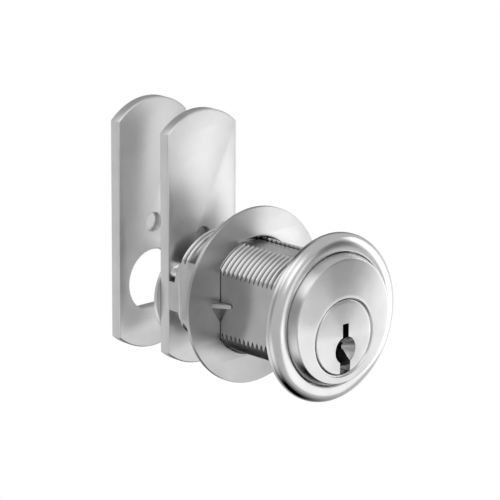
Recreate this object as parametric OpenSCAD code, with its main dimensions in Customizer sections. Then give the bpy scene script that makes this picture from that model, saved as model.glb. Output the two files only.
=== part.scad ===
// Pin tumbler cam lock for a cabinet door or a drawer front, with a spare cam.
// The lock's axis runs along Y, with the key face towards -Y and +Z up.
// The origin is on the barrel's axis, in the plane of the door's face.

/* [Barrel] */
// Diameter over the thread
barrel_d = 21.8; // [21.4:0.1:22.6]
// Threads in an inch
threads_per_inch = 22; // [20:1:28]
// Depth of the thread
thread_depth = 0.6; // [0.4:0.05:0.65]
// Distance across the two side flats
barrel_flats = 17.4; // [17:0.1:17.8]
// Length from the door's face to the rear end
barrel_len = 31.8; // [30:0.1:36]
// Chamfer round the rear end
rear_chamfer = 2.1; // [0.8:0.1:2.3]
// Depth of the relief behind the head
relief_depth = 0.6; // [0.3:0.1:0.9]
// Length of the relief behind the head
relief_len = 1.4; // [0.8:0.1:2]

/* [Head] */
// Diameter of the head where it leaves the trim ring
head_d = 24.86; // [24.2:0.02:25.6]
// Diameter of the head's front rim
rim_d = 23.7; // [23.2:0.1:24.2]
// Height of the front rim above the door's face
rim_height = 4.2; // [3.7:0.05:4.6]
// Height of the dome of the face above its rim
dome_rise = 0.3; // [0.1:0.05:0.6]
// Width of the chamfer round the plug's opening
opening_chamfer = 0.45; // [0.2:0.05:0.8]

/* [Trim ring] */
// Outer diameter of the ring
ring_d = 31.6; // [30:0.1:33]
// Height of the ring's crown above the door's face
ring_height = 2.45; // [2.2:0.05:2.9]
// Thickness of the lip that the head clamps
ring_lip = 1; // [0.8:0.05:1.2]
// Diameter of the crown, the ring's highest circle
crown_d = 27.2; // [26.6:0.1:28]
// Height of the ring's straight outer edge
ring_edge = 0.75; // [0.5:0.05:1.1]
// Rounding between the outer edge and the rear face
ring_round = 0.35; // [0.1:0.05:0.45]
// Fall of the ring's inner band from its crown
band_fall = 0.2; // [0.1:0.05:0.35]

/* [Plug] */
// Drop of the plug's axis below the barrel's axis
plug_drop = 2.98; // [2.8:0.02:3.1]
// Diameter of the plug's face
plug_face_d = 14; // [13.8:0.1:14.4]
// Diameter of the plug behind its face
plug_d = 12.7; // [12.5:0.1:12.9]
// Thickness of the plug's front flange
flange_t = 2; // [1.6:0.1:2.4]
// Depth of the plug's face below the dome
face_sink = 0.25; // [0.1:0.05:0.4]
// Diameter of the D shaped tail
tail_d = 11.9; // [11.5:0.1:12]
// Distance of the tail's flat from the plug's axis
tail_flat = 5.15; // [4.8:0.05:5.4]

/* [Keyway] */
// Width of the upper slot
key_slot_w = 1.5; // [1.3:0.1:1.8]
// Width of the lower slot
key_foot_w = 2.6; // [2:0.1:2.8]
// Distance of the keyway's middle to the right of the plug's axis
key_side = 0.33; // [0:0.01:0.4]
// Side step of the middle ward
ward_step = 0.4; // [0.2:0.05:0.6]
// Height of the slot's top above the plug's axis
key_top = 2.5; // [2:0.1:2.6]
// Depth of the middle ward's top below the plug's axis
ward_top = 1.6; // [1.2:0.1:1.8]
// Depth of the lower slot's top below the plug's axis
foot_top = 3; // [2.6:0.1:3.4]
// Length of the keyway
keyway_len = 26; // [24:0.5:27]
// Diameter of the round pocket in the keyway's mouth
pocket_d = 5.1; // [4.6:0.1:5.2]
// Depth of the pocket's centre below the plug's axis
pocket_drop = 2.5; // [2.4:0.05:3]
// Depth of the pocket
pocket_depth = 3.5; // [2:0.1:4]
// Bevel round the plug's face
plug_bevel = 0.2; // [0.1:0.05:0.3]

/* [Tumblers] */
// Distance between tumblers
tumbler_pitch = 3.96; // [3.7:0.02:4]
// Distance of the first tumbler behind the door's face
tumbler_start = 3.4; // [3.2:0.1:4]
// Diameter of the tumbler pins
pin_d = 2.84; // [2.7:0.02:2.9]
// Length of the driver pins
driver_len = 3; // [2.8:0.1:3.2]
// Lengths of the five key pins, front to back
key_pin_len = [4.4, 5.4, 4.9, 5.9, 4.7];
// Bevel at the ends of the tumbler pins
pin_bevel = 0.2; // [0.1:0.05:0.3]
// Radius of the flat at a key pin's tip
tip_r = 0.4; // [0.3:0.05:0.6]
// Furthest that a key pin drops below its tip at rest
drop_spare = 0.5; // [0.3:0.1:0.7]
// Wire diameter of the springs
wire_d = 0.26; // [0.22:0.02:0.3]
// Outer diameter of the springs
spring_d = 2.5; // [2.3:0.1:2.6]
// Turns of each spring
spring_turns = 4; // [3:1:5]

/* [Chamber cover] */
// Width of the cover strip
cover_w = 5.8; // [5:0.1:6.2]
// Thickness of the cover strip
cover_t = 0.8; // [0.6:0.1:1]
// Depth of the strip's top below the thread's crests
cover_sink = 1; // [0.85:0.05:1.2]
// Distance of the strip's front end behind the door's face
cover_start = 1.4; // [1:0.1:1.6]
// Length of the strip past the outer tumblers' centres
cover_over = 2; // [1.8:0.1:3]

/* [Cams] */
// Width of a cam
cam_w = 17.3; // [16.4:0.1:18]
// Thickness of a cam
cam_t = 2.33; // [1.8:0.01:2.6]
// Reach of the tip above the hole's centre
cam_reach = 35.8; // [30:0.05:45]
// Reach of the foot below the hole's centre
cam_foot = 13.2; // [12:0.05:14]
// Radius of the tip's arc
tip_arc = 12.4; // [9:0.1:20]
// Distance of the fitted cam's face behind the barrel's end
cam_standoff = 1.7; // [1.4:0.05:2]
// Diameter of the dimple
dimple_d = 3.5; // [3:0.1:3.8]
// Height of the dimple above the hole's centre
dimple_height = 11.4; // [11.4:0.1:13]
// Depth of the dimple
dimple_depth = 0.8; // [0.4:0.1:1]
// Distance from the fitted cam's face to the spare cam's face
spare_gap = 13.8; // [9:0.1:30]

/* [Stops] */
// Angle that the plug turns between its stops
turn_angle = 90; // [80:5:90]
// Diameter of the stop pin
stop_pin_d = 3.4; // [3:0.1:3.4]
// Distance of the stop pin's centre to the left of the plug's axis
stop_pin_side = 6.5; // [6.4:0.05:6.6]
// Height of the stop pin's centre above the plug's axis
stop_pin_rise = 6.1; // [6:0.05:6.4]
// Diameter of the stop pin's riveted shank
stop_shank_d = 2; // [1.6:0.1:2.2]
// Rounding of the stop pin's nose
stop_pin_round = 0.5; // [0.2:0.1:0.8]
// Depth of the lugs' lower ends below the barrel's axis
lug_foot = 4.2; // [3.4:0.1:4.6]

/* [Cam fixing] */
// Diameter of the washer under the screw
cam_washer_d = 19.05; // [17:0.05:19.2]
// Thickness of that washer
cam_washer_t = 0.8; // [0.6:0.1:1]
// Outer diameter of the split lock washer
lock_washer_d = 9.6; // [9:0.1:11]
// Thickness of the lock washer
lock_washer_t = 0.9; // [0.7:0.1:1.1]
// Width of the lock washer's gap
lock_washer_gap = 0.8; // [0.5:0.1:1.2]
// Diameter of the screw's shank
screw_d = 5; // [4.5:0.1:5.2]
// Length of the screw's shank
screw_len = 9; // [7:0.5:10]
// Distance across the screw head's flats
screw_flats = 9; // [8:0.1:9.6]
// Height of the screw's head
screw_head = 2.7; // [2.2:0.1:3]
// Bevel of the screw head's rear corners
screw_bevel = 0.5; // [0.3:0.1:0.8]

/* [Spur washer] */
// Outer diameter of the washer
washer_d = 33.5; // [31:0.1:35]
// Thickness of the washer
washer_t = 0.8; // [0.6:0.1:1.2]
// Distance of its front face behind the door's face
washer_at = 19.2; // [12:0.1:20]
// Width of each spur's root
spur_w = 2.1; // [1.5:0.1:2.6]
// Length of each spur
spur_len = 3.1; // [2:0.1:3.6]
// Height of the spur's upper face above the barrel's axis
spur_rise = 0.4; // [0.3:0.1:1]

/* [Mounting nut] */
// Distance across the nut's flats
nut_flats = 26; // [25:0.1:28]
// Thickness of the nut
nut_t = 4.6; // [3:0.1:5]
// Angle that the nut stands turned on the thread
nut_turn = 13; // [0:1:44]

/* [Hidden] */

$fn = 96;

// Clearances
running = 0.03;      // plug in its bore, on the radius
pin_play = 0.05;     // tumbler pin in its chamber, on the radius
seat = 0.02;         // pieces that are clamped or staked together
flange_play = 0.1;   // plug's flange in the head
ring_play = 0.1;     // trim ring round the barrel
head_play = 0.12;    // trim ring round the head
washer_play = 0.3;   // spur washer's arcs round the barrel
flat_play = 0.1;     // spur washer's flats on the barrel's flats
nut_play = 0.1;      // nut's bore over the thread crests
end_play = 0.1;      // plug and cam along the axis
stop_play = 0.02;    // stop pin above its lug
lug_play = 0.25;     // lugs' inner faces beside the plug's bore
cam_play = 0.05;     // cam's D hole round the plug's tail
tail_play = 0.15;    // tail's end below the cam's rear face
boss_play = 0.1;     // dimple's boss inside the dimple's own radius
screw_play = 0.2;    // screw in the plain washer, on the radius
lock_play = 0.1;     // screw in the lock washer, on the radius
drill_play = 0.5;    // plug's screw hole past the screw's tip
nut_gap = 0.05;      // nut behind the spur washer
cut = 1;             // cutters run past a face by this much

// Radii and heights that several pieces share
barrel_r = barrel_d / 2;
thread_pitch = 25.4 / threads_per_inch;
thread_end = barrel_len - rear_chamfer;
flat_x = barrel_flats / 2;
face_y = -(rim_height + dome_rise);
opening_r = plug_face_d / 2 + flange_play;
bore_r = plug_d / 2 + running;
plug_face_y = face_y + face_sink;
flange_back_y = plug_face_y + flange_t;
cam_y = barrel_len + cam_standoff;
cam_back_y = cam_y + cam_t;
lug_end_y = cam_y - end_play;
tumbler_count = len(key_pin_len);
chamber_r = pin_d / 2 + pin_play;
key_pin_top_h = sqrt(pow(plug_d / 2, 2) - pow(pin_d / 2, 2)) - seat;
pocket_floor_h = key_pin_top_h - max(key_pin_len) - drop_spare;
cover_top_z = barrel_r - cover_sink;
cover_floor_z = cover_top_z - cover_t;
cover_len = tumbler_start - cover_start + (tumbler_count - 1) * tumbler_pitch + cover_over;
driver_base_z = bore_r - plug_drop;
driver_top_z = driver_base_z + driver_len;
spring_base_z = driver_top_z + seat;
stop_pin_r = stop_pin_d / 2;
stop_orbit = sqrt(pow(stop_pin_side, 2) + pow(stop_pin_rise, 2));
stop_angle = atan2(stop_pin_rise, -stop_pin_side);
lug_in_x = bore_r + lug_play;
left_lug_z = stop_pin_rise - plug_drop - stop_pin_r - stop_play;
right_lug_z = stop_orbit * sin(stop_angle - turn_angle) - plug_drop - stop_pin_r - stop_play;
screw_r = screw_d / 2;
washer_y = cam_back_y + seat;
lock_y = washer_y + cam_washer_t;
screw_head_y = lock_y + lock_washer_t;
nut_y = washer_at + washer_t + nut_gap;
washer_hole_x = flat_x + flat_play;

function tumbler_y(i) = tumbler_start + i * tumbler_pitch;

// Revolves an outline of [radius, y] points round the Y axis
module revolve_y(points) {
    rotate([-90, 0, 0]) rotate_extrude() polygon(points);
}

// Extrudes an outline drawn in X and Z from y0 over a thickness along +Y
module plate_y(y0, t) {
    translate([0, y0 + t, 0]) rotate([90, 0, 0]) linear_extrude(t) children();
}

// Round bar or hole along +Y
module rod_y(y0, len, r, x = 0, z = 0) {
    translate([x, y0, z]) rotate([-90, 0, 0]) cylinder(h = len, r = r);
}

// A child moved down on to the plug's axis
module on_plug_axis() {
    translate([0, 0, -plug_drop]) children();
}

// Points of the domed face, from its centre out to the rim
function dome_points(steps) = [
    for (i = [0:steps])
        [rim_d / 2 * i / steps, -rim_height - dome_rise * (1 - pow(i / steps, 2))]
];

// One groove after another in place of the helix, from the relief to the rear chamfer
function thread_points() =
    let (
        crest = thread_pitch / 8,
        flank = thread_depth * tan(30),
        turns = floor((thread_end - relief_len) / thread_pitch)
    )
    [for (i = [0:turns - 1])
        let (y = relief_len + i * thread_pitch)
        each [
            [barrel_r, y],
            [barrel_r, y + crest],
            [barrel_r - thread_depth, y + crest + flank],
            [barrel_r - thread_depth, y + thread_pitch - flank]
        ]];

// Head and barrel before anything is bored out of them
module barrel_blank() {
    neck_r = barrel_r - relief_depth;
    slope = 0.2;
    revolve_y(concat(dome_points(10), [
        [head_d / 2, -ring_height + band_fall],
        [head_d / 2, -ring_lip],
        [barrel_r, -ring_lip],
        [barrel_r, 0],
        [neck_r, slope],
        [neck_r, relief_len - slope]
    ], thread_points(), [
        [barrel_r, thread_end],
        [barrel_r - rear_chamfer, barrel_len],
        [0, barrel_len]
    ]));
}

// One lug at the barrel's rear end: side is -1 for left and 1 for right
module stop_lug(side, top_z) {
    lug_w = flat_x - lug_in_x;
    translate([side > 0 ? lug_in_x : -flat_x, thread_end, -lug_foot])
        cube([lug_w, lug_end_y - thread_end, top_z + lug_foot]);
}

module housing() {
    color("silver") difference() {
        union() {
            difference() {
                barrel_blank();
                for (side = [-1, 1])
                    translate([side > 0 ? flat_x : -flat_x - barrel_r, 0, -barrel_r - cut])
                        cube([barrel_r, barrel_len + cut, 2 * (barrel_r + cut)]);
            }
            stop_lug(-1, left_lug_z);
            stop_lug(1, right_lug_z);
        }
        on_plug_axis() {
            rod_y(face_y - cut, barrel_len - face_y + 2 * cut, bore_r);
            rod_y(face_y - cut, flange_back_y + running - face_y + cut, opening_r);
            revolve_y([
                [0, face_y - cut],
                [opening_r + opening_chamfer + cut, face_y - cut],
                [opening_r, face_y + opening_chamfer],
                [0, face_y + opening_chamfer]
            ]);
        }
        for (i = [0:tumbler_count - 1])
            translate([0, tumbler_y(i), 0]) cylinder(h = barrel_r, r = chamber_r);
        translate([-cover_w / 2, cover_start, cover_floor_z])
            cube([cover_w, cover_len, barrel_r]);
    }
}

// Convex outer band and shallow inner band of the ring's section
function ring_crown(steps) = [
    for (i = [0:steps])
        let (a = 90 * i / steps, half = (ring_d - crown_d) / 2)
        [crown_d / 2 + half * cos(a), -ring_edge - (ring_height - ring_edge) * sin(a)]
];

module trim_ring() {
    bore = barrel_r + ring_play;
    recess = head_d / 2 + head_play;
    color("gainsboro") revolve_y(concat(
        [[bore, 0], [ring_d / 2 - ring_round, 0], [ring_d / 2, -ring_round]],
        ring_crown(12),
        [[recess, -ring_height + band_fall], [recess, -ring_lip + seat], [bore, -ring_lip + seat]]
    ));
}

module chamber_cover() {
    color("darkgray")
        translate([-cover_w / 2 + seat, cover_start + seat, cover_floor_z])
            cube([cover_w - 2 * seat, cover_len - 2 * seat, cover_t]);
}

// Outline of the keyway about its own middle, open at the plug's underside
module keyway_outline() {
    foot_z = -plug_face_d / 2 - cut;
    translate([-key_slot_w / 2, -ward_top]) square([key_slot_w, key_top + ward_top]);
    translate([-key_slot_w / 2, -foot_top]) square([key_slot_w + ward_step, foot_top - ward_top]);
    translate([-key_foot_w / 2, foot_z]) square([key_foot_w, -foot_top - foot_z]);
}

module d_outline(r, flat) {
    intersection() {
        circle(r = r);
        translate([-r, -flat]) square([2 * r, flat + r]);
    }
}

module plug() {
    color("lightgray") on_plug_axis() difference() {
        union() {
            revolve_y([
                [0, plug_face_y],
                [plug_face_d / 2 - plug_bevel, plug_face_y],
                [plug_face_d / 2, plug_face_y + plug_bevel],
                [plug_face_d / 2, flange_back_y],
                [plug_d / 2, flange_back_y],
                [plug_d / 2, cam_y],
                [0, cam_y]
            ]);
            plate_y(cam_y, cam_t - tail_play) d_outline(tail_d / 2, tail_flat);
        }
        plate_y(plug_face_y - cut, keyway_len + cut) translate([key_side, 0]) keyway_outline();
        rod_y(plug_face_y - cut, pocket_depth + cut, pocket_d / 2, key_side, -pocket_drop);
        rod_y(screw_head_y - screw_len - drill_play, screw_len + drill_play, screw_r + seat);
        for (i = [0:tumbler_count - 1])
            translate([0, tumbler_y(i), pocket_floor_h]) cylinder(h = plug_d, r = chamber_r);
    }
}

// Key pin with a bevelled top and a pointed lower end
module key_pin(i) {
    r = pin_d / 2;
    tip_h = r - tip_r;
    color("goldenrod") on_plug_axis()
        translate([0, tumbler_y(i), key_pin_top_h - key_pin_len[i]])
            rotate_extrude() polygon([
                [0, 0], [tip_r, 0], [r, tip_h],
                [r, key_pin_len[i] - pin_bevel], [r - pin_bevel, key_pin_len[i]],
                [0, key_pin_len[i]]
            ]);
}

module driver_pin(i) {
    r = pin_d / 2;
    color("khaki") translate([0, tumbler_y(i), driver_base_z])
        rotate_extrude() polygon([
            [0, 0], [r - pin_bevel, 0], [r, pin_bevel],
            [r, driver_len - pin_bevel], [r - pin_bevel, driver_len],
            [0, driver_len]
        ]);
}

// Coil spring along Z, with its wire swept along a helix
module pin_spring(i) {
    steps_per_turn = 14;
    wire_r = wire_d / 2;
    coil_r = spring_d / 2 - wire_r;
    height = cover_floor_z - seat - spring_base_z - wire_d;
    steps = steps_per_turn * spring_turns;
    sides = 6;
    rings = [
        for (s = [0:steps])
            let (a = 360 * spring_turns * s / steps)
            [for (k = [0:sides - 1])
                let (b = 360 * k / sides, r = coil_r + wire_r * cos(b))
                [r * cos(a), r * sin(a), height * s / steps + wire_r * sin(b)]]
    ];
    points = [for (ring = rings) for (p = ring) p];
    walls = [
        for (s = [0:steps - 1]) for (k = [0:sides - 1])
            [s * sides + k, s * sides + (k + 1) % sides,
             (s + 1) * sides + (k + 1) % sides, (s + 1) * sides + k]
    ];
    ends = [
        [for (k = [sides - 1:-1:0]) k],
        [for (k = [0:sides - 1]) steps * sides + k]
    ];
    color("dimgray") translate([0, tumbler_y(i), spring_base_z + wire_r])
        polyhedron(points = points, faces = concat(walls, ends), convexity = 10);
}

// Outline of a cam about its hole's centre
module cam_outline() {
    intersection() {
        translate([-cam_w / 2, -cam_foot]) square([cam_w, cam_foot + cam_reach]);
        union() {
            circle(r = cam_foot);
            translate([-cam_w / 2, 0]) square([cam_w, cam_reach - tip_arc]);
            translate([0, cam_reach - tip_arc]) circle(r = tip_arc);
        }
    }
}

// A cam with its D hole and its half sheared dimple
module cam_plate(y0) {
    on_plug_axis() {
        difference() {
            plate_y(y0, cam_t) difference() {
                cam_outline();
                d_outline(tail_d / 2 + cam_play, tail_flat + cam_play);
            }
            rod_y(y0 - cut, dimple_depth + cut, dimple_d / 2, 0, dimple_height);
        }
        rod_y(y0 + cam_t - seat, dimple_depth + seat, dimple_d / 2 - boss_play, 0, dimple_height);
    }
}

module fitted_cam() {
    color("lightgray") difference() {
        cam_plate(cam_y);
        on_plug_axis()
            rod_y(cam_y - cut, cam_t + 2 * cut, stop_shank_d / 2 + seat, -stop_pin_side, stop_pin_rise);
    }
}

module spare_cam() {
    color("lightgray") cam_plate(cam_y + spare_gap);
}

// Stop pin with a rounded nose, riveted into the fitted cam
module stop_pin() {
    nose_y = barrel_len + end_play;
    nose = [
        for (a = [90:-15:0])
            [stop_pin_r - stop_pin_round * (1 - cos(a)), nose_y + stop_pin_round * (1 - sin(a))]
    ];
    color("gainsboro") on_plug_axis() translate([-stop_pin_side, 0, stop_pin_rise])
        revolve_y(concat([[0, nose_y]], nose, [
            [stop_pin_r, cam_y],
            [stop_shank_d / 2, cam_y],
            [stop_shank_d / 2, cam_back_y],
            [0, cam_back_y]
        ]));
}

module cam_washer() {
    color("silver") on_plug_axis() plate_y(washer_y, cam_washer_t) difference() {
        circle(d = cam_washer_d);
        circle(r = screw_r + screw_play);
    }
}

module cam_lock_washer() {
    color("gray") on_plug_axis() plate_y(lock_y, lock_washer_t) difference() {
        circle(d = lock_washer_d);
        circle(r = screw_r + lock_play);
        translate([-lock_washer_gap / 2, 0]) square([lock_washer_gap, lock_washer_d]);
    }
}

module cam_screw() {
    corner_r = screw_flats / 2 / cos(30);
    color("silver") on_plug_axis() union() {
        intersection() {
            plate_y(screw_head_y, screw_head) circle(r = corner_r, $fn = 6);
            revolve_y([
                [0, screw_head_y],
                [corner_r, screw_head_y],
                [corner_r, screw_head_y + screw_head - screw_bevel],
                [corner_r - 2 * screw_bevel, screw_head_y + screw_head],
                [0, screw_head_y + screw_head]
            ]);
        }
        revolve_y([
            [0, screw_head_y - screw_len],
            [screw_r - screw_bevel, screw_head_y - screw_len],
            [screw_r, screw_head_y - screw_len + screw_bevel],
            [screw_r, screw_head_y + screw_head / 2],
            [0, screw_head_y + screw_head / 2]
        ]);
    }
}

// The washer's outline, with the round hole's two flats on the barrel's
module washer_outline() {
    hole_r = barrel_r + washer_play;
    difference() {
        circle(d = washer_d);
        intersection() {
            circle(r = hole_r);
            square([2 * washer_hole_x, 2 * hole_r], center = true);
        }
        for (turn = [0, 180]) rotate(turn) polygon([
            [-washer_hole_x - spur_w, spur_rise - washer_t],
            [-washer_hole_x + cut, spur_rise - washer_t],
            [-washer_hole_x + cut, spur_rise - washer_t - spur_len],
            [-washer_hole_x, spur_rise - washer_t - spur_len]
        ]);
    }
}

// Spurs are lanced out of the flats' edges and bent forward
module spur_washer() {
    color("silver") union() {
        plate_y(washer_at, washer_t) washer_outline();
        for (turn = [0, 180]) rotate([0, turn, 0])
            translate([0, 0, spur_rise - washer_t]) linear_extrude(washer_t) polygon([
                [-washer_hole_x - spur_w, washer_at + washer_t],
                [-washer_hole_x - spur_w, washer_at],
                [-washer_hole_x, washer_at - spur_len],
                [-washer_hole_x, washer_at + washer_t]
            ]);
    }
}

module mounting_nut() {
    color("silver") plate_y(nut_y, nut_t) difference() {
        rotate(nut_turn) circle(r = nut_flats / 2 / cos(22.5), $fn = 8);
        circle(r = barrel_r + nut_play);
    }
}

housing();
trim_ring();
chamber_cover();
plug();
for (i = [0:tumbler_count - 1]) {
    pin_spring(i);
    driver_pin(i);
    key_pin(i);
}
fitted_cam();
stop_pin();
cam_washer();
cam_lock_washer();
cam_screw();
spur_washer();
mounting_nut();
spare_cam();
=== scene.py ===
import bmesh
import bpy
import math
from mathutils import Matrix, Vector


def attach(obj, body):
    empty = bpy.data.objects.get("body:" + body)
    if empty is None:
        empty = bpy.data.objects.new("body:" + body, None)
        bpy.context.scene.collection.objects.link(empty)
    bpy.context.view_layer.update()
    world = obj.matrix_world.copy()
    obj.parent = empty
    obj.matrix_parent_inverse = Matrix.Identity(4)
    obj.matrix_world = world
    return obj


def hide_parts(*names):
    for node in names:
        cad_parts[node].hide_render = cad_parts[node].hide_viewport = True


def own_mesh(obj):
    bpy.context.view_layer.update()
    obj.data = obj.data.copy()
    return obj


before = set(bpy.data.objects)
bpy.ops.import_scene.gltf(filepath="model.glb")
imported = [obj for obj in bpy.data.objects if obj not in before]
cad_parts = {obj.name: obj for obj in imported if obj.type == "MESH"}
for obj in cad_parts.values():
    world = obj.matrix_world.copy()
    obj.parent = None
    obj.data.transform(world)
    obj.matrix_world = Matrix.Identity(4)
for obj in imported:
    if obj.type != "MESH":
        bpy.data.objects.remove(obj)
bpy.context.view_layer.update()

mm = 0.001
roundSteps = 192  # facets round a large turned surface
smallSteps = 48  # and round a small one
roundingSteps = 6  # facets of a small rounding
onAxis = 0.001  # mm, the smallest radius of a turned profile


# Colours are written as sRGB hex values

def linear(hexColour):
    channels = []
    for place in (0, 2, 4):
        value = int(hexColour[place:place + 2], 16) / 255
        channels.append(value / 12.92 if value <= 0.04045 else ((value + 0.055) / 1.055) ** 2.4)
    return (*channels, 1)


# One node, its settings and what feeds it

def addNode(tree, kind, settings=None, links=None):
    node = tree.nodes.new(kind)
    for name, value in (settings or {}).items():
        if isinstance(name, int) or name in node.inputs:
            node.inputs[name].default_value = value
        else:
            setattr(node, name, value)
    for name, source in (links or {}).items():
        tree.links.new(source, node.inputs[name])
    return node


def startMaterial(name):
    material = bpy.data.materials.new(name)
    material.use_nodes = True
    material.node_tree.nodes.clear()
    return material, material.node_tree


def blendRamp(tree, factor, stops):
    ramp = addNode(tree, "ShaderNodeValToRGB", links={"Fac": factor})
    elements = ramp.color_ramp.elements
    while len(elements) < len(stops):
        elements.new(0.5)
    for element, (place, colour) in zip(elements, stops):
        element.position = place
        element.color = colour
    return ramp.outputs["Color"]


# Metal with its highlights drawn out across the turning marks where it was turned

def finishMetal(tree, colour, roughness, bump, drawnOut=0.0):
    links = {"Base Color": colour, "Roughness": roughness, "Normal": bump}
    settings = {"Metallic": 1.0}
    if drawnOut:
        around = addNode(tree, "ShaderNodeTangent", {"direction_type": "RADIAL", "axis": "Y"})
        links["Tangent"] = around.outputs["Tangent"]
        settings["Anisotropic"] = drawnOut
        settings["Anisotropic Rotation"] = 0.25
    shader = addNode(tree, "ShaderNodeBsdfPrincipled", settings, links)
    addNode(tree, "ShaderNodeOutputMaterial", links={"Surface": shader.outputs["BSDF"]})


# What every metal here shares: where its cloudy noise reaches the dark and the light plate, and
# how deep in mm its grain or turning marks stand
plating = {"darkAt": 0.3, "lightAt": 0.7, "markDepth": 0.02, "cloudDetail": 3.0, "grainDetail": 4.0}


def cloudyNoise(tree, place, size):
    settings = {"Scale": 1 / (size * mm), "Detail": plating["cloudDetail"]}
    return addNode(tree, "ShaderNodeTexNoise", settings, {"Vector": place}).outputs["Fac"]


def cloudyColour(tree, cloud, dark, light):
    return blendRamp(tree, cloud, [(plating["darkAt"], linear(dark)), (plating["lightAt"], linear(light))])


def roughnessFrom(tree, noise, look):
    settings = {"To Min": look["roughLow"], "To Max": look["roughHigh"]}
    return addNode(tree, "ShaderNodeMapRange", settings, {"Value": noise}).outputs["Result"]


def bumpFrom(tree, noise, look):
    settings = {"Strength": look["bump"], "Distance": plating["markDepth"] * mm}
    return addNode(tree, "ShaderNodeBump", settings, {"Height": noise}).outputs["Normal"]


def fineGrain(tree, place, look):
    settings = {"Scale": 1 / (look["grain"] * mm), "Detail": plating["grainDetail"]}
    return addNode(tree, "ShaderNodeTexNoise", settings, {"Vector": place}).outputs["Fac"]


# The distance of a point from the barrel's axis
def distanceFromAxis(tree, place):
    sideways = addNode(tree, "ShaderNodeVectorMath", {"operation": "MULTIPLY", 1: (1, 0, 1)}, {0: place})
    distance = addNode(tree, "ShaderNodeVectorMath", {"operation": "LENGTH"}, {0: sideways.outputs["Vector"]})
    return distance.outputs["Value"]


# Plated metal turned on a lathe: fine rings round the axis, which spread a lamp into bright and
# dark wedges. Real turning marks lie about 0.05 mm apart, drawn here at the spacing given in mm.
turnedLooks = {
    # Nickel plate on a turned face: bright, with clear wedges
    "turnedNickelFace": {"light": "d8d8d8", "dark": "cccccc", "ringSpacing": 0.16, "cloud": 6,
                         "roughLow": 0.20, "roughHigh": 0.27, "bump": 0.03, "drawnOut": 0.88},
    # Zinc plate on a washer with turning marks: greyer, with wide soft wedges
    "turnedWasherPlate": {"light": "c4c4c4", "dark": "b8b8b8", "ringSpacing": 0.2, "cloud": 6,
                          "roughLow": 0.28, "roughHigh": 0.34, "bump": 0.03, "drawnOut": 0.92},
    # Nickel plate buffed after turning: soft bands of light that follow the ring's form
    "softPolishedNickel": {"light": "dcdcdc", "dark": "d2d2d2", "ringSpacing": 0.3, "cloud": 6,
                           "roughLow": 0.17, "roughHigh": 0.23, "bump": 0.02, "drawnOut": 0.3},
}


def turnedMetal(name):
    look = turnedLooks[name]
    material, tree = startMaterial(name)
    place = addNode(tree, "ShaderNodeTexCoord").outputs["Object"]
    parts = addNode(tree, "ShaderNodeSeparateXYZ", links={"Vector": place})
    along = addNode(tree, "ShaderNodeMath", {"operation": "ADD"},
                    {0: distanceFromAxis(tree, place), 1: parts.outputs["Y"]}).outputs["Value"]
    ringsPerMetre = 1 / (look["ringSpacing"] * mm)
    spacing = addNode(tree, "ShaderNodeMath", {"operation": "MULTIPLY", 1: ringsPerMetre}, {0: along})
    ringSettings = {"noise_dimensions": "1D", "Scale": 1.0, "Detail": plating["cloudDetail"]}
    rings = addNode(tree, "ShaderNodeTexNoise", ringSettings, {"W": spacing.outputs["Value"]}).outputs["Fac"]
    colour = cloudyColour(tree, cloudyNoise(tree, place, look["cloud"]), look["dark"], look["light"])
    finishMetal(tree, colour, roughnessFrom(tree, rings, look), bumpFrom(tree, rings, look), look["drawnOut"])
    return material


# Plated metal with a fine tumbled grain: soft reflections with faint cloudy patches. The grain is
# about 0.05 mm on the real piece, drawn here at the size given in mm.
plainLooks = {
    # Nickel plate on a die cast nut: fairly sharp reflections
    "castNickelPlate": {"light": "d0d0d0", "dark": "bebebe", "grain": 0.35, "cloud": 5,
                        "roughLow": 0.12, "roughHigh": 0.20, "bump": 0.06},
    # Nickel plate on stamped and tumbled steel: a pale satin sheet, blurred reflections
    "stampedSteelPlate": {"light": "e6e6e6", "dark": "dcdcdc", "grain": 0.3, "cloud": 5,
                          "roughLow": 0.38, "roughHigh": 0.46, "bump": 0.05},
    # Bright plate on turned steel: small hard glints
    "brightPinSteel": {"light": "dadada", "dark": "cecece", "grain": 0.3, "cloud": 5,
                       "roughLow": 0.08, "roughHigh": 0.16, "bump": 0.02},
    # Drawn spring wire, unplated: dark grey with a sheen
    "drawnSpringWire": {"light": "8f8f8f", "dark": "7c7c7c", "grain": 0.2, "cloud": 5,
                        "roughLow": 0.25, "roughHigh": 0.4, "bump": 0.05},
    # Cut metal deep in the keyway, dull, and darkened to nearly black as painted shade where it is out of the
    # light
    "keywayPaintedShadeMetal": {"light": "4a4a49", "dark": "3a3a39", "grain": 0.3, "cloud": 5,
                        "roughLow": 0.45, "roughHigh": 0.6, "bump": 0.1},
    # Turned brass of the tumblers: warm, with a soft shine
    "turnedPinBrass": {"light": "d9b873", "dark": "c4a25c", "grain": 0.25, "cloud": 5,
                       "roughLow": 0.18, "roughHigh": 0.3, "bump": 0.04},
}


def platedMetal(name):
    look = plainLooks[name]
    material, tree = startMaterial(name)
    place = addNode(tree, "ShaderNodeTexCoord").outputs["Object"]
    cloud = cloudyNoise(tree, place, look["cloud"])
    colour = cloudyColour(tree, cloud, look["dark"], look["light"])
    bump = bumpFrom(tree, fineGrain(tree, place, look), look)
    finishMetal(tree, colour, roughnessFrom(tree, cloud, look), bump)
    return material


# Nickel plate on a die cast thread, with painted shade that darkens the grooves to near black and a painted
# highlight that lightens the crests. The radii in mm tell the thread from the flats and the neck, which have
# a plain plate.
threadLook = {
    "crest": "e2e2e2", "flank": "a0a0a0", "root": "242424", "plainLight": "cecece", "plainDark": "c2c2c2",
    "rootRadius": 10.26, "crestRadius": 10.9, "flankAt": 0.45, "crestAt": 0.9, "flat": 8.69, "neck": 10.2,
    "grain": 0.35, "cloud": 5, "roughLow": 0.14, "roughHigh": 0.24, "bump": 0.06,
}


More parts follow.
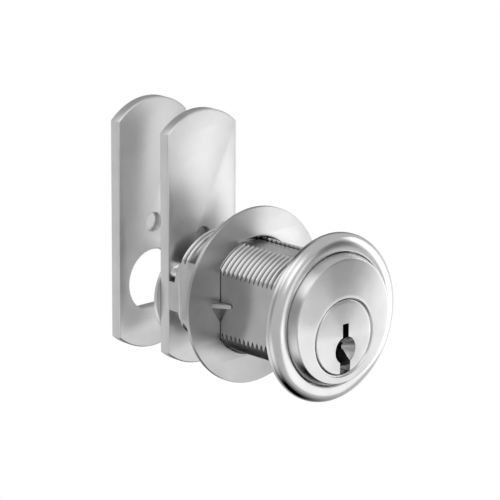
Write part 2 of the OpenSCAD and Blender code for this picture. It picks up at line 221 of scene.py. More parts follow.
def threadMetal(name):
    look = threadLook
    material, tree = startMaterial(name)
    place = addNode(tree, "ShaderNodeTexCoord").outputs["Object"]
    parts = addNode(tree, "ShaderNodeSeparateXYZ", links={"Vector": place})
    radius = distanceFromAxis(tree, place)
    depthSettings = {"From Min": look["rootRadius"] * mm, "From Max": look["crestRadius"] * mm}
    depth = addNode(tree, "ShaderNodeMapRange", depthSettings, {"Value": radius}).outputs["Result"]
    # Painted shade and highlight by distance from the axis: near black in the grooves, grey on the flanks,
    # lighter on the crests
    paintedThreadShading = blendRamp(tree, depth, [(0.0, linear(look["root"])), (look["flankAt"], linear(look["flank"])),
                                     (look["crestAt"], linear(look["crest"]))])
    cloud = cloudyNoise(tree, place, look["cloud"])
    plain = cloudyColour(tree, cloud, look["plainDark"], look["plainLight"])
    across = addNode(tree, "ShaderNodeMath", {"operation": "ABSOLUTE"}, {0: parts.outputs["X"]})
    onFlat = addNode(tree, "ShaderNodeMath", {"operation": "GREATER_THAN", 1: look["flat"] * mm},
                     {0: across.outputs["Value"]})
    onNeck = addNode(tree, "ShaderNodeMath", {"operation": "LESS_THAN", 1: look["neck"] * mm}, {0: radius})
    smooth = addNode(tree, "ShaderNodeMath", {"operation": "MAXIMUM"},
                     {0: onFlat.outputs["Value"], 1: onNeck.outputs["Value"]})
    colour = addNode(tree, "ShaderNodeMix", {"data_type": "RGBA"})
    tree.links.new(smooth.outputs["Value"], colour.inputs["Factor"])
    tree.links.new(paintedThreadShading, colour.inputs["A"])
    tree.links.new(plain, colour.inputs["B"])
    bump = bumpFrom(tree, fineGrain(tree, place, look), look)
    finishMetal(tree, colour.outputs["Result"], roughnessFrom(tree, cloud, look), bump)
    return material


materials = {name: platedMetal(name) for name in plainLooks}
materials["castThreadNickel"] = threadMetal("castThreadNickel")
materials.update({name: turnedMetal(name) for name in turnedLooks})
print("materials made:", len(materials))


# Shared tools for the pieces. Profiles and outlines are in millimetres, meshes in metres.

def newPiece(name, bm, material, smoothAngle=35):
    bmesh.ops.recalc_face_normals(bm, faces=bm.faces)
    mesh = bpy.data.meshes.new(name)
    bm.to_mesh(mesh)
    bm.free()
    piece = bpy.data.objects.new(name, mesh)
    bpy.context.scene.collection.objects.link(piece)
    mesh.materials.append(materials[material])
    shadeByAngle(mesh, smoothAngle)
    return piece


def shadeByAngle(mesh, smoothAngle):
    mesh.polygons.foreach_set("use_smooth", [True] * len(mesh.polygons))
    mesh.set_sharp_from_angle(angle=math.radians(smoothAngle))


def settle(piece, body, slot, *nodes):
    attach(piece, body)
    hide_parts(*nodes)


def circleOutline(radius, steps):
    return [(radius * math.cos(2 * math.pi * k / steps), radius * math.sin(2 * math.pi * k / steps))
            for k in range(steps)]


def ringOfPoints(radius, y, height=0.0, steps=roundSteps):
    return [(x, y, height + z) for x, z in circleOutline(radius, steps)]


# Joins rings of as many points each into a skin, and closes it end to end or with flat caps

def skin(bm, rings, closed=False, capped=False):
    rows = [[bm.verts.new(Vector(point) * mm) for point in ring] for ring in rings]
    count = len(rows[0])
    pairs = list(zip(rows, rows[1:])) + ([(rows[-1], rows[0])] if closed else [])
    for first, second in pairs:
        for k in range(count):
            after = (k + 1) % count
            bm.faces.new((first[k], first[after], second[after], second[k]))
    if capped:
        bm.faces.new(rows[0])
        bm.faces.new(reversed(rows[-1]))


def lathe(profile, height=0.0, steps=roundSteps):
    bm = bmesh.new()
    skin(bm, [ringOfPoints(radius, y, height, steps) for radius, y in profile], closed=True)
    return bm


def arc(centreX, centreY, radius, start, end, steps):
    return [(centreX + radius * math.cos(math.radians(start + (end - start) * k / steps)),
             centreY + radius * math.sin(math.radians(start + (end - start) * k / steps)))
            for k in range(steps + 1)]


weldGap = {"plate": 0.0005, "thread": 0.002}  # mm, points closer than this are one


# A flat plate with rounded edges from closed outlines in X and Z, the first the outer one

def plate(name, outlines, y0, thickness, edge, material):
    curve = bpy.data.curves.new(name, "CURVE")
    curve.dimensions = "2D"
    curve.fill_mode = "BOTH"
    curve.extrude = (thickness / 2 - edge) * mm
    curve.bevel_depth = edge * mm
    curve.offset = -edge * mm
    curve.bevel_resolution = 2
    for outline in outlines:
        spline = curve.splines.new("POLY")
        spline.points.add(len(outline) - 1)
        for point, (x, z) in zip(spline.points, outline):
            point.co = (x * mm, z * mm, 0, 1)
        spline.use_cyclic_u = True
    holder = bpy.data.objects.new(name + "Outline", curve)
    bpy.context.scene.collection.objects.link(holder)
    depsgraph = bpy.context.evaluated_depsgraph_get()
    mesh = bpy.data.meshes.new_from_object(holder.evaluated_get(depsgraph))
    bpy.data.objects.remove(holder)
    bpy.data.curves.remove(curve)
    upright = Matrix.Rotation(math.radians(90), 4, "X")
    mesh.transform(Matrix.Translation((0, (y0 + thickness / 2) * mm, 0)) @ upright)
    bm = bmesh.new()
    bm.from_mesh(mesh)
    bpy.data.meshes.remove(mesh)
    bmesh.ops.remove_doubles(bm, verts=bm.verts, dist=weldGap["plate"] * mm)
    return newPiece(name, bm, material)


def addBox(bm, low, high):
    centre = (Vector(low) + Vector(high)) / 2 * mm
    size = (Vector(high) - Vector(low)) * mm
    bmesh.ops.create_cube(bm, size=1, matrix=Matrix.Translation(centre) @ Matrix.Diagonal((*size, 1)))


def addRod(bm, radius, yFront, yBack, z):
    centre = Matrix.Translation(Vector((0, (yFront + yBack) / 2, z)) * mm)
    along = Matrix.Rotation(math.radians(90), 4, "X")
    bmesh.ops.create_cone(bm, cap_ends=True, segments=2 * smallSteps, radius1=radius * mm,
                          radius2=radius * mm, depth=(yBack - yFront) * mm, matrix=centre @ along)


# Adds or cuts away a tool mesh, and leaves a plain mesh behind

def carve(piece, toolBm, operation, smoothAngle=35):
    bmesh.ops.recalc_face_normals(toolBm, faces=toolBm.faces)
    toolMesh = bpy.data.meshes.new("toolMesh")
    toolBm.to_mesh(toolMesh)
    toolBm.free()
    tool = bpy.data.objects.new("tool", toolMesh)
    bpy.context.scene.collection.objects.link(tool)
    step = piece.modifiers.new("carve", "BOOLEAN")
    step.operation = operation
    step.object = tool
    step.solver = "EXACT"
    depsgraph = bpy.context.evaluated_depsgraph_get()
    result = bpy.data.meshes.new_from_object(piece.evaluated_get(depsgraph))
    piece.modifiers.remove(step)
    old = piece.data
    piece.data = result
    bpy.data.meshes.remove(old)
    bpy.data.objects.remove(tool)
    bpy.data.meshes.remove(toolMesh)
    shadeByAngle(piece.data, smoothAngle)


# The housing, in two shells that meet inside the trim ring: the head, whose face is blended
# from the off-centre plug opening to the round rim, and the threaded barrel.

barrel = {
    "crest": 10.9, "pitch": 25.4 / 22, "relief": 10.2, "reliefEnd": 1.3, "rear": 31.8, "chamfer": 2.1,
    "flat": 8.7, "lugIn": 6.63, "lugOut": 12, "lugEnd": 33.4, "lugFoot": -4.2, "leftLugTop": 1.4,
    "rightLugTop": 1.8, "cutFront": -1, "flatBack": 35, "boreBack": 40, "cutOut": 14, "smoothAngle": 40,
    "threadProfile": [(0, 0), (0.05, 0.02), (0.11, 0.09), (0.28, 0.36), (0.45, 0.61), (0.5, 0.64),
                      (0.55, 0.61), (0.72, 0.36), (0.89, 0.09), (0.95, 0.02)],  # share of pitch, depth
    "coverWidth": 5.8, "coverFloor": 9.1, "coverTop": 9.9, "coverFront": 1.4, "coverBack": 21.24,
}
plugPlace = {"height": -2.98, "bore": 6.38, "opening": 7.1, "lip": 0.5, "ledge": -2.22}
head = {
    "rim": 11.85, "rimY": -4.1, "dome": 0.42, "rimRound": 0.35, "wall": 12.43, "wallY": -2.25, "seat": -1.0,
    "back": -0.05, "smoothAngle": 32,
}


def threadDepth(phase):
    points = barrel["threadProfile"] + [(1, 0)]
    phase %= 1
    for (start, low), (end, high) in zip(points, points[1:]):
        if phase <= end:
            return low + (high - low) * (phase - start) / (end - start)
    return 0


def barrelRadius(y, turn):
    threaded = barrel["crest"] - threadDepth((y - barrel["reliefEnd"]) / barrel["pitch"] - turn)
    front = barrel["relief"] + max(0, y - barrel["reliefEnd"])
    rear = barrel["crest"] - max(0, y - (barrel["rear"] - barrel["chamfer"]))
    return min(threaded, front, rear)


def threadedBarrel():
    bm = bmesh.new()
    phases = [phase for phase, depth in barrel["threadProfile"]]
    perTurn = len(phases)
    start, end, pitch = barrel["reliefEnd"], barrel["rear"], barrel["pitch"]
    turns = math.ceil((end - start) / pitch) + 2
    columns = []
    for k in range(roundSteps + 1):
        turn = k / roundSteps
        column = []
        for j in range(turns * perTurn + 1):
            y = start + pitch * (j // perTurn + phases[j % perTurn] - 1 + turn)
            y = min(max(y, start), end)
            radius = barrelRadius(y, turn)
            angle = 2 * math.pi * turn
            point = (radius * math.cos(angle) * mm, y * mm, radius * math.sin(angle) * mm)
            column.append(bm.verts.new(point))
        columns.append(column)
    for left, right in zip(columns, columns[1:]):
        for j in range(turns * perTurn):
            bm.faces.new((left[j], left[j + 1], right[j + 1], right[j]))
    bmesh.ops.remove_doubles(bm, verts=bm.verts, dist=weldGap["thread"] * mm)
    neck = barrel["relief"]
    skin(bm, [ringOfPoints(neck, 0), ringOfPoints(neck, start)])
    bmesh.ops.remove_doubles(bm, verts=bm.verts, dist=weldGap["thread"] * mm)
    edges = [edge for edge in bm.edges if edge.is_boundary]
    bmesh.ops.edgeloop_fill(bm, edges=edges)
    return newPiece("threadedBarrel", bm, "castThreadNickel", barrel["smoothAngle"])


def addLugs(piece):
    root, end, foot = barrel["rear"] - barrel["chamfer"], barrel["lugEnd"], barrel["lugFoot"]
    inner, outer = barrel["lugIn"], barrel["lugOut"]
    lugs = bmesh.new()
    addBox(lugs, (-outer, root, foot), (-inner, end, barrel["leftLugTop"]))
    addBox(lugs, (inner, root, foot), (outer, end, barrel["rightLugTop"]))
    carve(piece, lugs, "UNION", barrel["smoothAngle"])


# Cuts the two side flats, the channel of the chamber cover and the plug's bore
def cutBarrel(piece):
    front, outer = barrel["cutFront"], barrel["cutOut"]
    halfCover = barrel["coverWidth"] / 2
    cutters = bmesh.new()
    for side in (-1, 1):
        near, far = sorted((side * barrel["flat"], side * outer))
        addBox(cutters, (near, front, -outer), (far, barrel["flatBack"], outer))
    addBox(cutters, (-halfCover, barrel["coverFront"], barrel["coverFloor"]),
           (halfCover, barrel["coverBack"], outer))
    addRod(cutters, plugPlace["bore"], front, barrel["boreBack"], plugPlace["height"])
    carve(piece, cutters, "DIFFERENCE", barrel["smoothAngle"])


housing = threadedBarrel()
addLugs(housing)
cutBarrel(housing)
settle(housing, "housing", "satin_nickel", "housing")
print("barrel made:", len(housing.data.polygons), "faces")


def domeY(x, z):
    return head["rimY"] - head["dome"] * (1 - (x * x + z * z) / head["rim"] ** 2)


# Rings of points from the lip round the plug's opening, over the face, round the rim and down
def headFace():
    drop, opening, lip = plugPlace["height"], plugPlace["opening"], plugPlace["lip"]
    rimRound = head["rimRound"]
    rimInner = head["rim"] - rimRound
    lipOuter = ringOfPoints(opening + lip, 0, drop)
    rings = []
    for step in range(roundingSteps):
        bend = math.radians(90 * step / roundingSteps)
        circle = ringOfPoints(opening + lip * (1 - math.cos(bend)), 0, drop)
        rings.append([(x, domeY(outerX, outerZ) + lip * (1 - math.sin(bend)), z)
                      for (x, y, z), (outerX, outerY, outerZ) in zip(circle, lipOuter)])
    faceSteps = 14
    for step in range(faceSteps + 1):
        share = step / faceSteps
        ring = []
        for (x, y, z), (rimX, rimZ) in zip(lipOuter, circleOutline(rimInner, roundSteps)):
            faceX = x + (rimX - x) * share
            faceZ = z + (rimZ - z) * share
            ring.append((faceX, domeY(faceX, faceZ), faceZ))
        rings.append(ring)
    wallTilt = math.atan2(head["wall"] - head["rim"], head["wallY"] - head["rimY"])
    edge = arc(rimInner, domeY(rimInner, 0) + rimRound, rimRound, -90, -math.degrees(wallTilt), 5)
    profile = edge[1:] + [
        (head["wall"], head["wallY"]), (head["wall"], head["seat"]),
        (barrel["crest"], head["seat"]), (barrel["crest"], head["back"]),
    ]
    rings += [ringOfPoints(radius, y) for radius, y in profile]
    bore = [(plugPlace["bore"], head["back"]), (plugPlace["bore"], plugPlace["ledge"]),
            (opening, plugPlace["ledge"])]
    rings += [ringOfPoints(radius, y, drop) for radius, y in bore]
    bm = bmesh.new()
    skin(bm, rings, closed=True)
    return newPiece("headFace", bm, "turnedNickelFace", head["smoothAngle"])


settle(headFace(), "housing", "satin_nickel", "housing")
print("head made")


# The strip that closes the tumbler chambers, staked in its channel between the thread's teeth

coverStrip = {"sideGap": 0.02, "backGap": 0.06, "edge": 0.12}


def chamberCover():
    half = barrel["coverWidth"] / 2 - coverStrip["sideGap"]
    front = barrel["coverFront"] + coverStrip["sideGap"]
    back = barrel["coverBack"] - coverStrip["backGap"]
    bm = bmesh.new()
    addBox(bm, (-half, front, barrel["coverFloor"]), (half, back, barrel["coverTop"]))
    bmesh.ops.bevel(bm, geom=bm.edges[:], offset=coverStrip["edge"] * mm, segments=2, affect="EDGES")
    return newPiece("chamberCoverStrip", bm, "stampedSteelPlate")


settle(chamberCover(), "housing", "satin_nickel", "chamber_cover")
print("chamber cover made")


# Trim ring: a convex outer band, a soft crown and a shallow inner band down to the head

collar = {
    "outer": 15.8, "edge": 0.7, "corner": 0.35, "crown": 13.1, "height": 2.4, "fullness": 0.9,
    "recess": 12.55, "lip": 0.98, "bore": 11.0, "innerRound": 0.25, "bandStep": 3, "smoothAngle": 40,
}


def trimRing():
    half = collar["outer"] - collar["crown"]
    rise = collar["height"] - collar["edge"]
    fullness, innerRound = collar["fullness"], collar["innerRound"]
    corner = arc(collar["outer"] - collar["corner"], -collar["corner"], collar["corner"], 90, 0, 5)
    band = [(collar["crown"] + half * math.cos(math.radians(angle)) ** fullness,
             -collar["edge"] - rise * math.sin(math.radians(angle)) ** fullness)
            for angle in range(0, 90, collar["bandStep"])]
    inner = arc(collar["recess"] + innerRound, -collar["height"] + innerRound, innerRound, -90, -180,
                roundingSteps)
    drop = [(collar["recess"], -collar["lip"]), (collar["bore"], -collar["lip"]), (collar["bore"], 0)]
    bm = lathe(corner + band + inner + drop)
    return newPiece("trimRingCollar", bm, "softPolishedNickel", collar["smoothAngle"])


settle(trimRing(), "trim_ring", "polished_nickel", "trim_ring")
print("trim ring made")


# Plug: a slightly domed face with a small bevel, the keyway cut through it and a round pocket
# with a tapered wall in its mouth

plugCore = {
    "face": 7.0, "faceY": -4.25, "dome": 0.16, "faceSteps": 12, "bevel": 0.2, "flange": 2.0, "body": 6.35,
    "end": 33.5, "tail": 5.95, "tailFlat": 5.15, "tailEnd": 35.68, "screwHole": 2.52, "holeDepth": 8,
    "smoothAngle": 32,
}
# The keyway's painted shade reaches down to this depth in mm below the plug's axis
keyway = {
    "side": 0.33, "slot": 1.5, "slotTop": 2.5, "wardTop": 1.6, "wardStep": 0.4, "footTop": 3.0, "foot": 2.6,
    "length": 26.0, "pocket": 5.1, "pocketDrop": 2.5, "pocketDepth": 2.2, "pocketFoot": 1.1,
    "flare": 0.1, "paintedShadeFrom": 4.6, "past": 1,
}


def plugBody():
    core = plugCore
    bevel, steps = core["bevel"], core["faceSteps"]
    reach, holeEnd = core["face"] - bevel, core["end"] - core["holeDepth"]
    profile = [(max(onAxis, reach * k / steps), core["faceY"] - core["dome"] * (1 - (k / steps) ** 2))
               for k in range(steps + 1)]
    profile += arc(reach, core["faceY"] + bevel, bevel, -90, 0, 4)[1:]
    flangeY = core["faceY"] + core["flange"]
    profile += [(core["face"], flangeY), (core["body"], flangeY), (core["body"], core["end"]),
                (core["tail"], core["end"]), (core["tail"], core["tailEnd"]),
                (core["screwHole"], core["tailEnd"]), (core["screwHole"], holeEnd), (onAxis, holeEnd)]
    return newPiece("keyPlug", lathe(profile, plugPlace["height"]), "turnedNickelFace", core["smoothAngle"])


def keywayCutter():
    slot, foot, ward = keyway["slot"] / 2, keyway["foot"] / 2, keyway["slot"] / 2 + keyway["wardStep"]
    low, side, height = -plugCore["face"] - keyway["past"], keyway["side"], plugPlace["height"]
    outline = [(-slot, keyway["slotTop"]), (slot, keyway["slotTop"]), (slot, -keyway["wardTop"]),
               (ward, -keyway["wardTop"]), (ward, -keyway["footTop"]), (foot, -keyway["footTop"]),
               (foot, low), (-foot, low), (-foot, -keyway["footTop"]), (-slot, -keyway["footTop"])]
    front, deep = plugCore["faceY"] - keyway["past"], plugCore["faceY"] + keyway["length"]
    bm = bmesh.new()
    skin(bm, [[(x + side, y, z + height) for x, z in outline] for y in (front, deep)], capped=True)
    return bm


def pocketCutter():
    faceY, mouth, past = plugCore["faceY"], keyway["pocket"] / 2, keyway["past"]
    floorY = faceY + keyway["pocketDepth"]
    profile = [(onAxis, faceY - past), (mouth + keyway["flare"], faceY - past), (mouth, faceY),
               (keyway["pocketFoot"], floorY), (onAxis, floorY)]
    bm = lathe(profile, plugPlace["height"] - keyway["pocketDrop"], 2 * smallSteps)
    bmesh.ops.translate(bm, verts=bm.verts, vec=(keyway["side"] * mm, 0, 0))
    return bm


# Painted shade: the walls inside the keyway and the pocket floor take the nearly black metal, and the
# pocket's tapered wall keeps its plate
def paintKeywayShade(piece):
    piece.data.materials.append(materials["keywayPaintedShadeMetal"])
    faceY, floorY = plugCore["faceY"], plugCore["faceY"] + keyway["pocketDepth"]
    near = 0.05  # mm
    squareOn, edgeOn = -0.97, -0.15  # how far the tapered wall may turn from and to the front
    for face in piece.data.polygons:
        x, y, z = face.center / mm
        onPocketWall = squareOn < face.normal.y < edgeOn and y < floorY
        onPocketFloor = abs(y - floorY) < near
        inSlot = abs(x - keyway["side"]) < (keyway["foot"] + near) / 2
        inKeyway = inSlot and faceY + near < y < faceY + keyway["length"] + 2 * near
        aboveFoot = z > plugPlace["height"] - keyway["paintedShadeFrom"]
        if (inKeyway and aboveFoot and not onPocketWall) or onPocketFloor:
            face.material_index = 1


def plugPiece():
    piece = plugBody()
    carve(piece, keywayCutter(), "DIFFERENCE", plugCore["smoothAngle"])
    carve(piece, pocketCutter(), "DIFFERENCE", plugCore["smoothAngle"])
    tailFlat = bmesh.new()
    height, reach = plugPlace["height"], plugCore["face"] + keyway["past"]
    addBox(tailFlat, (-reach, plugCore["end"], height - reach),
           (reach, plugCore["tailEnd"] + keyway["past"], height - plugCore["tailFlat"]))
    carve(piece, tailFlat, "DIFFERENCE", plugCore["smoothAngle"])
    paintKeywayShade(piece)
    return piece


settle(plugPiece(), "plug_set", "satin_nickel", "plug")
print("plug made")


# Cams: stamped plates with a D hole and a half sheared dimple, whose slug stands out behind

camPlate = {
    "width": 17.3, "thickness": 2.33, "reach": 35.8, "foot": 13.2, "tipArc": 12.4, "edge": 0.28,
    "hole": 6.0, "holeFlat": 5.2, "dimple": 1.75, "dimpleHeight": 11.4, "dimpleDepth": 0.8, "slugFit": 0.01,
    "slugRound": 0.26, "slugDome": 0.1, "slugShoulder": 0.06, "fittedY": 33.5, "spareY": 47.3,
}


def camOutline():
    half, tip, foot = camPlate["width"] / 2, camPlate["tipArc"], camPlate["foot"]
    tipAngle = math.degrees(math.acos(half / tip))
    footAngle = math.degrees(math.acos(half / foot))
    top = arc(0, camPlate["reach"] - tip, tip, tipAngle, 180 - tipAngle, 28)
    return top + arc(0, 0, foot, 180 + footAngle, 360 - footAngle, 28)


def dHole(radius, flat):
    side = math.degrees(math.asin(flat / radius))
    return arc(0, 0, radius, -side, 180 + side, 64)


def shifted(outline, z):
    return [(pointX, pointZ + z) for pointX, pointZ in outline]


def camPiece(name, y0):
    cam, height = camPlate, plugPlace["height"]
    dimple = shifted(circleOutline(cam["dimple"], smallSteps), cam["dimpleHeight"])
    outlines = [shifted(outline, height)
                for outline in (camOutline(), dHole(cam["hole"], cam["holeFlat"]), dimple)]
    piece = plate(name, outlines, y0, cam["thickness"], cam["edge"], "stampedSteelPlate")
    slug, rounding = cam["dimple"] + cam["slugFit"], cam["slugRound"]
    floorY = y0 + cam["dimpleDepth"]
    backY = floorY + cam["thickness"]
    profile = [(onAxis, floorY + cam["slugDome"]), (slug / 2, floorY + cam["slugShoulder"]), (slug, floorY)]
    profile += arc(slug - rounding, backY - rounding, rounding, 0, 90, 4) + [(onAxis, backY)]
    bm = lathe(profile, height + cam["dimpleHeight"], smallSteps)
    return mergePieces(piece, newPiece("slug", bm, "stampedSteelPlate"))


def mergePieces(piece, *others):
    bm = bmesh.new()
    bm.from_mesh(piece.data)
    for other in others:
        bm.from_mesh(other.data)
        oldMesh = other.data
        bpy.data.objects.remove(other)
        bpy.data.meshes.remove(oldMesh)
    bm.to_mesh(piece.data)
    bm.free()
    return piece


settle(camPiece("fittedCamPlate", camPlate["fittedY"]), "plug_set", "plated_steel", "fitted_cam")
settle(camPiece("spareCamPlate", camPlate["spareY"]), "housing", "plated_steel", "spare_cam")
print("cams made")


# Stop pin, turned, with a rounded nose and a shank riveted in the cam

stopPin = {"radius": 1.7, "nose": 31.9, "round": 0.5, "shank": 1.0, "x": -6.5, "rise": 6.1}


def stopPinPiece():
    radius, nose, rounding = stopPin["radius"], stopPin["nose"], stopPin["round"]
    front, back = camPlate["fittedY"], camPlate["fittedY"] + camPlate["thickness"]
    profile = [(onAxis, nose)] + arc(radius - rounding, nose + rounding, rounding, -90, 0, roundingSteps)
    profile += [(radius, front), (stopPin["shank"], front), (stopPin["shank"], back), (onAxis, back)]
    bm = lathe(profile, plugPlace["height"] + stopPin["rise"], smallSteps)
    bmesh.ops.translate(bm, verts=bm.verts, vec=(stopPin["x"] * mm, 0, 0))
    return newPiece("stopPinTurned", bm, "brightPinSteel")


settle(stopPinPiece(), "plug_set", "bright_steel", "stop_pin")
print("stop pin made")


# Washer, split lock washer and hexagon screw that hold the fitted cam on the plug's tail

camFixing = {
    "washer": 9.525, "washerHole": 2.7, "washerY": 35.85, "washerThick": 0.8, "washerEdge": 0.12,
    "lock": 4.8, "lockHole": 2.6, "lockThick": 0.9, "lockEdge": 0.08, "gap": 0.8,
    "flats": 9.0, "headHigh": 2.7, "headEdge": 0.15, "screwShank": 2.5, "screwTip": 28.55,
    "tipChamfer": 0.5, "shankIntoHead": 1,
}
lockY = camFixing["washerY"] + camFixing["washerThick"]
headY = lockY + camFixing["lockThick"]


def camWasher():
    outlines = [shifted(circleOutline(camFixing[size], 2 * smallSteps), plugPlace["height"])
                for size in ("washer", "washerHole")]
    return plate("camPlainWasher", outlines, camFixing["washerY"], camFixing["washerThick"],
                 camFixing["washerEdge"], "brightPinSteel")


def splitWasher():
    halfGap, outer, inner = camFixing["gap"] / 2, camFixing["lock"], camFixing["lockHole"]
    outerTurn = math.degrees(math.asin(halfGap / outer))
    innerTurn = math.degrees(math.asin(halfGap / inner))
    outline = arc(0, 0, outer, 90 + outerTurn, 450 - outerTurn, 60)
    outline += arc(0, 0, inner, 450 - innerTurn, 90 + innerTurn, 48)
    return plate("camSplitWasher", [shifted(outline, plugPlace["height"])], lockY, camFixing["lockThick"],
                 camFixing["lockEdge"], "drawnSpringWire")


def hexagonScrew():
    height, shank, tip = plugPlace["height"], camFixing["screwShank"], camFixing["screwTip"]
    chamfer, shankEnd = camFixing["tipChamfer"], headY + camFixing["shankIntoHead"]
    hexagon = circleOutline(camFixing["flats"] / 2 / math.cos(math.radians(30)), 6)
    piece = plate("camHexScrew", [shifted(hexagon, height)], headY, camFixing["headHigh"],
                  camFixing["headEdge"], "brightPinSteel")
    profile = [(onAxis, tip), (shank - chamfer, tip), (shank, tip + chamfer), (shank, shankEnd),
               (onAxis, shankEnd)]
    return mergePieces(piece, newPiece("shank", lathe(profile, height, smallSteps), "brightPinSteel"))


settle(camWasher(), "plug_set", "bright_steel", "cam_washer")
settle(splitWasher(), "plug_set", "spring_steel", "cam_lock_washer")
settle(hexagonScrew(), "plug_set", "bright_steel", "cam_screw")
print("cam fixing made")


# Spur washer: a double D hole on the barrel, and two lanced spurs bent forward into the door

spurPlate = {
    "radius": 16.75, "thickness": 0.8, "front": 19.2, "hole": 11.2, "flat": 8.8, "edge": 0.12,
    "holeSteps": 40, "spurRoot": 2.1, "spurLength": 3.1, "spurTop": 0.4, "spurEdge": 0.1,
}


# The hole follows the barrel and opens into a notch where each spur was bent out
def notchedHole():
    flat, root, length = spurPlate["flat"], spurPlate["spurRoot"], spurPlate["spurLength"]
    radius, steps = spurPlate["hole"], spurPlate["holeSteps"]
    under = spurPlate["spurTop"] - spurPlate["thickness"]
    corner = math.degrees(math.acos(flat / radius))
    top = arc(0, 0, radius, corner, 180 - corner, steps)
    bottom = arc(0, 0, radius, 180 + corner, 360 - corner, steps)
    leftNotch = [(-flat, under), (-flat - root, under), (-flat, under - length)]
    rightNotch = [(-x, -z) for x, z in leftNotch]
    return top + leftNotch + bottom + rightNotch


def spur(turned):
    flat, root, length = spurPlate["flat"], spurPlate["spurRoot"], spurPlate["spurLength"]
    front, back = spurPlate["front"], spurPlate["front"] + spurPlate["thickness"]
    top, under = spurPlate["spurTop"], spurPlate["spurTop"] - spurPlate["thickness"]
    outline = [(-flat - root, back), (-flat - root, front), (-flat, front - length), (-flat, back)]
    bm = bmesh.new()
    skin(bm, [[(x, y, z) for x, y in outline] for z in (under, top)], capped=True)
    bmesh.ops.bevel(bm, geom=bm.edges[:], offset=spurPlate["spurEdge"] * mm, segments=2, affect="EDGES")
    if turned:
        bmesh.ops.rotate(bm, verts=bm.verts, matrix=Matrix.Rotation(math.pi, 3, "Y"))
    return newPiece("spur", bm, "turnedWasherPlate")


def spurWasher():
    outlines = [circleOutline(spurPlate["radius"], roundSteps), notchedHole()]
    disc = plate("spurWasherPlate", outlines, spurPlate["front"], spurPlate["thickness"],
                 spurPlate["edge"], "turnedWasherPlate")
    return mergePieces(disc, spur(False), spur(True))


settle(spurWasher(), "spur_washer", "plated_washer", "spur_washer")
print("spur washer made")


# Mounting nut with eight sides, turned to where the photograph shows its corners

eightNut = {
    "sides": 8, "flats": 26.0, "thickness": 4.6, "front": 20.05, "turn": 13, "bore": 11.0, "edge": 0.25,
}


def mountingNut():
    sides = eightNut["sides"]
    reach = eightNut["flats"] / 2 / math.cos(math.pi / sides)
    turns = [math.radians(eightNut["turn"] + 360 / sides * k) for k in range(sides)]
    octagon = [(reach * math.cos(turn), reach * math.sin(turn)) for turn in turns]
    return plate("eightSidedNut", [octagon, circleOutline(eightNut["bore"], roundSteps)],
                 eightNut["front"], eightNut["thickness"], eightNut["edge"], "castNickelPlate")


settle(mountingNut(), "mounting_nut", "nickel_nut", "mounting_nut")
print("nut made")


# The pins inside keep their turned shapes, in brass, and each spring keeps its coil in spring wire.

tumblers = {"count": 5, "lift": 1.2}


def brassPin(node):
    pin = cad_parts[node]
    pin.data.materials.clear()
    pin.data.materials.append(materials["turnedPinBrass"])


def springPiece(number):
    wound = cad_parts[f"pin_spring_{number}"]
    mesh = wound.data.copy()
    mesh.transform(wound.matrix_world)
    mesh.materials.clear()
    mesh.materials.append(materials["drawnSpringWire"])
    piece = bpy.data.objects.new(f"pinSpringCoil{number}", mesh)
    bpy.context.scene.collection.objects.link(piece)
    settle(piece, "housing", "spring_steel", f"pin_spring_{number}")
    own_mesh(piece)


for number in range(1, tumblers["count"] + 1):
    brassPin(f"driver_pin_{number}")
    brassPin(f"key_pin_{number}")
    springPiece(number)
print("tumblers made")


# The direction from the lock at an azimuth from its front, towards its right, and an elevation

def towards(azimuth, elevation):
    turn, tilt = math.radians(azimuth), math.radians(elevation)
    return (math.sin(turn) * math.cos(tilt), -math.cos(turn) * math.cos(tilt), math.sin(tilt))


# Camera where the photograph was taken from, solved from its circles and straight edges. The
# real one was a view camera held level, so here the upright edges lean in by a pixel or two.

shot = {
    "azimuth": -43.565, "elevation": 15.592, "roll": 0.218, "distance": 681.16, "left": 0.9, "above": 8.32,
    "barrelPoint": 19.2, "lens": 264.21, "sensor": 36, "nearest": 10, "farthest": 20000,
}


def placeCamera():
    back = Vector(towards(shot["azimuth"], shot["elevation"]))
    right = Vector((0, 0, 1)).cross(back).normalized()
    axes = Matrix((right, back.cross(right), back)).transposed()
    axes = axes @ Matrix.Rotation(math.radians(shot["roll"]), 3, "Z")
    target = Vector((0, shot["barrelPoint"], 0))
    spot = target - shot["left"] * axes.col[0] + shot["above"] * axes.col[1] + shot["distance"] * back
    data = bpy.data.cameras.new("photoCamera")
    data.lens = shot["lens"]
    data.sensor_width = shot["sensor"]
    data.clip_start = shot["nearest"] * mm
    data.clip_end = shot["farthest"] * mm
    camera = bpy.data.objects.new("photoCamera", data)
    bpy.context.scene.collection.objects.link(camera)
    camera.matrix_world = Matrix.Translation(spot * mm) @ axes.to_4x4()
    bpy.context.scene.camera = camera


placeCamera()


# Soft studio: pale surroundings, with soft lamps and grey screens that the metal shows. Each
# patch is a direction from the lock (azimuth and elevation), how far it spreads in degrees, and how
# much light it adds or takes. Lamps are placed and sized in mm, all turned the same way, and their
# brightness is that of the lit face, where 1 is white.

lamps = {
    "lowLamp": {"from": (67, -90, -65), "wide": 90, "high": 60, "brightness": 0.75},
    "sideLamp": {"from": (114, -69, 4), "wide": 30, "high": 90, "brightness": 0.8},
    "farLamp": {"from": (54, -124, -10), "wide": 28, "high": 70, "brightness": 0.7},
    "camLamp": {"from": (49, -18, 7), "wide": 24, "high": 70, "brightness": 0.95},
}
lampFacing = (0.672, -0.688, -0.273)  # the way that the lock's flat faces look from the camera
surroundings = {
    "level": 0.62,
    "patches": [
        (-75, 60, 30, 0.9), (-12, 38, 26, 0.5), (1, 22, 16, 1.2), (-144, 41, 24, 0.8), (-83, -44, 33, 0.5),
        (105, -16, 30, 0.35), (-149, -35, 21, 0.46), (0, -90, 50, -0.65), (172, 46, 28, -0.5),
        (135, 15, 28, -0.4), (44, 2, 18, -0.5), (-100, 15, 30, -0.25),
    ],
}


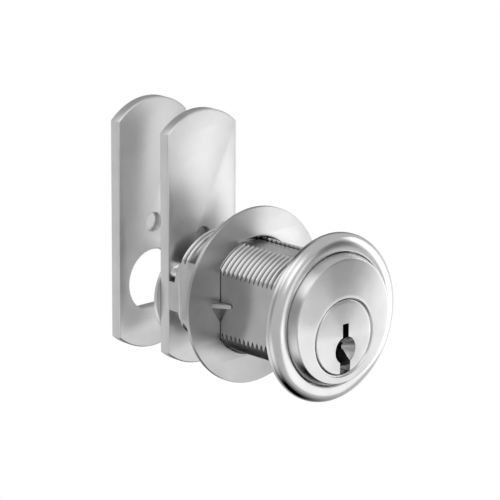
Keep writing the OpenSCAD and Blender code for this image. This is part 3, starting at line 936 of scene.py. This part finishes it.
def softLamp(name, settings):
    data = bpy.data.lights.new(name, "AREA")
    data.shape = "RECTANGLE"
    data.size = settings["wide"] * mm
    data.size_y = settings["high"] * mm
    data.energy = settings["brightness"] * math.pi * data.size * data.size_y
    lamp = bpy.data.objects.new(name, data)
    bpy.context.scene.collection.objects.link(lamp)
    lamp.visible_camera = False
    lamp.location = Vector(settings["from"]) * mm
    lamp.rotation_euler = Vector(lampFacing).to_track_quat("Z", "Y").to_euler()


for name, settings in lamps.items():
    softLamp(name, settings)


def studioWorld():
    world = bpy.data.worlds.new("studioWorld")
    bpy.context.scene.world = world
    world.use_nodes = True
    tree = world.node_tree
    tree.nodes.clear()
    direction = addNode(tree, "ShaderNodeTexCoord").outputs["Generated"]
    level = addNode(tree, "ShaderNodeMath", {"operation": "ADD", 0: surroundings["level"], 1: 0.0})
    total = level.outputs["Value"]
    for azimuth, elevation, spread, amount in surroundings["patches"]:
        aim = {"operation": "DOT_PRODUCT", 1: towards(azimuth, elevation)}
        facing = addNode(tree, "ShaderNodeVectorMath", aim, {0: direction}).outputs["Value"]
        fade = {"interpolation_type": "SMOOTHSTEP", "From Min": math.cos(math.radians(spread)),
                "From Max": 1.0, "To Max": amount}
        patch = addNode(tree, "ShaderNodeMapRange", fade, {"Value": facing}).outputs["Result"]
        total = addNode(tree, "ShaderNodeMath", {"operation": "ADD"}, {0: total, 1: patch}).outputs["Value"]
    # The camera and glass see plain white, metal sees the studio, and matt surfaces a plain level
    path = addNode(tree, "ShaderNodeLightPath")
    studio = addNode(tree, "ShaderNodeMix", {"data_type": "FLOAT", "A": surroundings["level"]},
                     {"Factor": path.outputs["Is Glossy Ray"], "B": total})
    seen = addNode(tree, "ShaderNodeMath", {"operation": "MAXIMUM"},
                   {0: path.outputs["Is Camera Ray"], 1: path.outputs["Is Transmission Ray"]})
    strength = addNode(tree, "ShaderNodeMix", {"data_type": "FLOAT", "B": 1.0},
                       {"Factor": seen.outputs["Value"], "A": studio.outputs["Result"]})
    background = addNode(tree, "ShaderNodeBackground", {"Color": (1, 1, 1, 1)},
                         {"Strength": strength.outputs["Result"]})
    addNode(tree, "ShaderNodeOutputWorld", links={"Surface": background.outputs["Background"]})


studioWorld()


# Pale floor below the lock: matt to the light, and plain white to the camera, because the
# photograph shows no shadow and no edge of a floor
floorLook = {"half": 3000, "height": -80, "colour": "e8e8e8"}


def paleFloor():
    bm = bmesh.new()
    drop = Matrix.Translation((0, 0, floorLook["height"] * mm))
    bmesh.ops.create_grid(bm, x_segments=1, y_segments=1, size=floorLook["half"] * mm, matrix=drop)
    mesh = bpy.data.meshes.new("studioFloor")
    bm.to_mesh(mesh)
    bm.free()
    floor = bpy.data.objects.new("studioFloor", mesh)
    bpy.context.scene.collection.objects.link(floor)
    material, tree = startMaterial("mattPaperFloor")
    path = addNode(tree, "ShaderNodeLightPath")
    matt = addNode(tree, "ShaderNodeBsdfDiffuse", {"Color": linear(floorLook["colour"])})
    white = addNode(tree, "ShaderNodeEmission", {"Color": (1, 1, 1, 1), "Strength": 1.0})
    mix = addNode(tree, "ShaderNodeMixShader")
    tree.links.new(path.outputs["Is Camera Ray"], mix.inputs[0])
    tree.links.new(matt.outputs["BSDF"], mix.inputs[1])
    tree.links.new(white.outputs["Emission"], mix.inputs[2])
    addNode(tree, "ShaderNodeOutputMaterial", links={"Surface": mix.outputs["Shader"]})
    mesh.materials.append(material)
    floor.visible_glossy = False


paleFloor()
bpy.context.scene.view_settings.view_transform = "Standard"
print("studio made")
